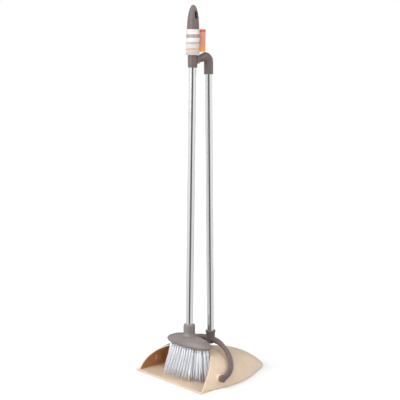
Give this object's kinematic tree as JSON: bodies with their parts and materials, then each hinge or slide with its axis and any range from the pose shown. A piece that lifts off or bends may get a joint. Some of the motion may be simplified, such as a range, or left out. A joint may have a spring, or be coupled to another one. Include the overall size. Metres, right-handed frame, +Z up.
{
  "type": "dust pan and brush set",
  "caption": "Upright lobby dust pan with an arched hood, a swinging tube handle with an elbow cradle, and a long tube broom that stands in the pan's mouth and lifts out.",
  "frame": {"origin": "on the floor under the middle of the pan's length and width", "axes": "+Z up, the mouth and the lip face -Y, the swing axis of the handle is along X"},
  "size_m": [0.2562, 0.264, 0.8407],
  "materials": {
    "pan_plastic": "beige polypropylene, satin",
    "lip_soft": "soft lip, a little greyer than the pan",
    "grey_plastic": "taupe plastic, satin",
    "tube_chrome": "bright plated steel tube",
    "card": "plain white card with a coloured flag",
    "bristle": "pale nylon strands"
  },
  "bodies": {
    "pan": {"pan_shell": "pan_plastic", "lip_strip": "lip_soft"},
    "handle": {"yoke": "grey_plastic", "pan_tube": "tube_chrome", "elbow_clip": "grey_plastic"},
    "broom": {"broom_tube": "tube_chrome", "brush_cover": "grey_plastic", "broom_grip": "grey_plastic", "hang_card": "card", "bristle_row_1": "bristle", "bristle_row_2": "bristle", "bristle_row_3": "bristle", "bristle_row_4": "bristle", "bristle_row_5": "bristle", "bristle_row_6": "bristle"}
  },
  "joints": [
    {"name": "handle_swing", "type": "hinge", "parent": "pan", "child": "handle", "pos_m": [0, -0.0714, 0.0242], "axis": [1, 0, 0], "range_deg": [0, 80], "deforming": ["bristle_row_1", "bristle_row_2", "bristle_row_3"]},
    {"name": "broom_lift", "type": "slide", "parent": "handle", "child": "broom", "axis": [0, -0.4695, 0.8829], "range_m": [0, 0.45]}
  ]
}
